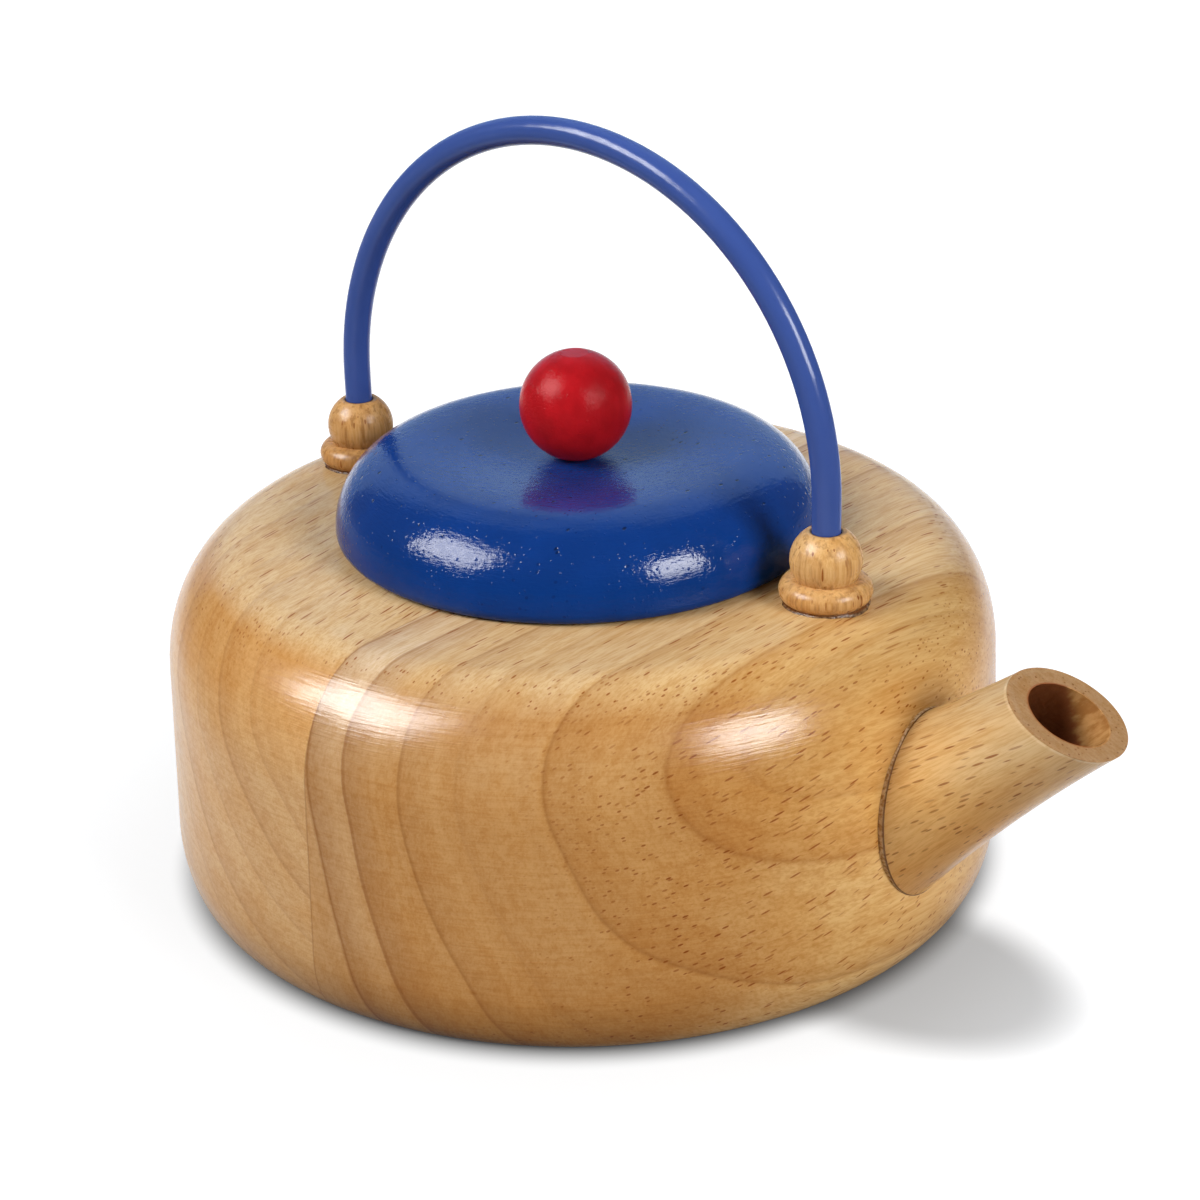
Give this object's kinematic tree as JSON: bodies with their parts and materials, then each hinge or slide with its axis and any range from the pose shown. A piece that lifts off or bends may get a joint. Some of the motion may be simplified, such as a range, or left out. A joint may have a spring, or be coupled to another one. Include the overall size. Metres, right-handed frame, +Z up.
{
  "type": "toy kettle",
  "caption": "Round wooden toy kettle with a turned spout, a blue sleeved wire handle arched over the top, and a blue lid with a red ball knob that lifts off a hollow.",
  "frame": {"origin": "centre of the round base, on the surface the kettle stands on", "axes": "+Z up along the body's turning axis, +X towards the spout, the handle's arch in the XZ plane"},
  "size_m": [0.1496, 0.1216, 0.1103],
  "materials": {
    "wood": "satin clear lacquer",
    "blue_paint": "gloss paint on wood",
    "red_paint": "gloss paint on wood",
    "sleeve": "gloss",
    "wire": "drawn wire"
  },
  "bodies": {
    "kettle": {"body_front_half": "wood", "body_rear_half": "wood", "spout": "wood", "front_ferrule": "wood", "rear_ferrule": "wood", "handle_wire": "wire", "handle_sleeve": "sleeve"},
    "lid": {"lid": "blue_paint", "knob": "red_paint", "knob_dowel": "red_paint"}
  },
  "joints": [
    {"name": "lid_lift", "type": "slide", "parent": "kettle", "child": "lid", "axis": [0, 0, 1], "range_m": [0, 0.027]}
  ]
}
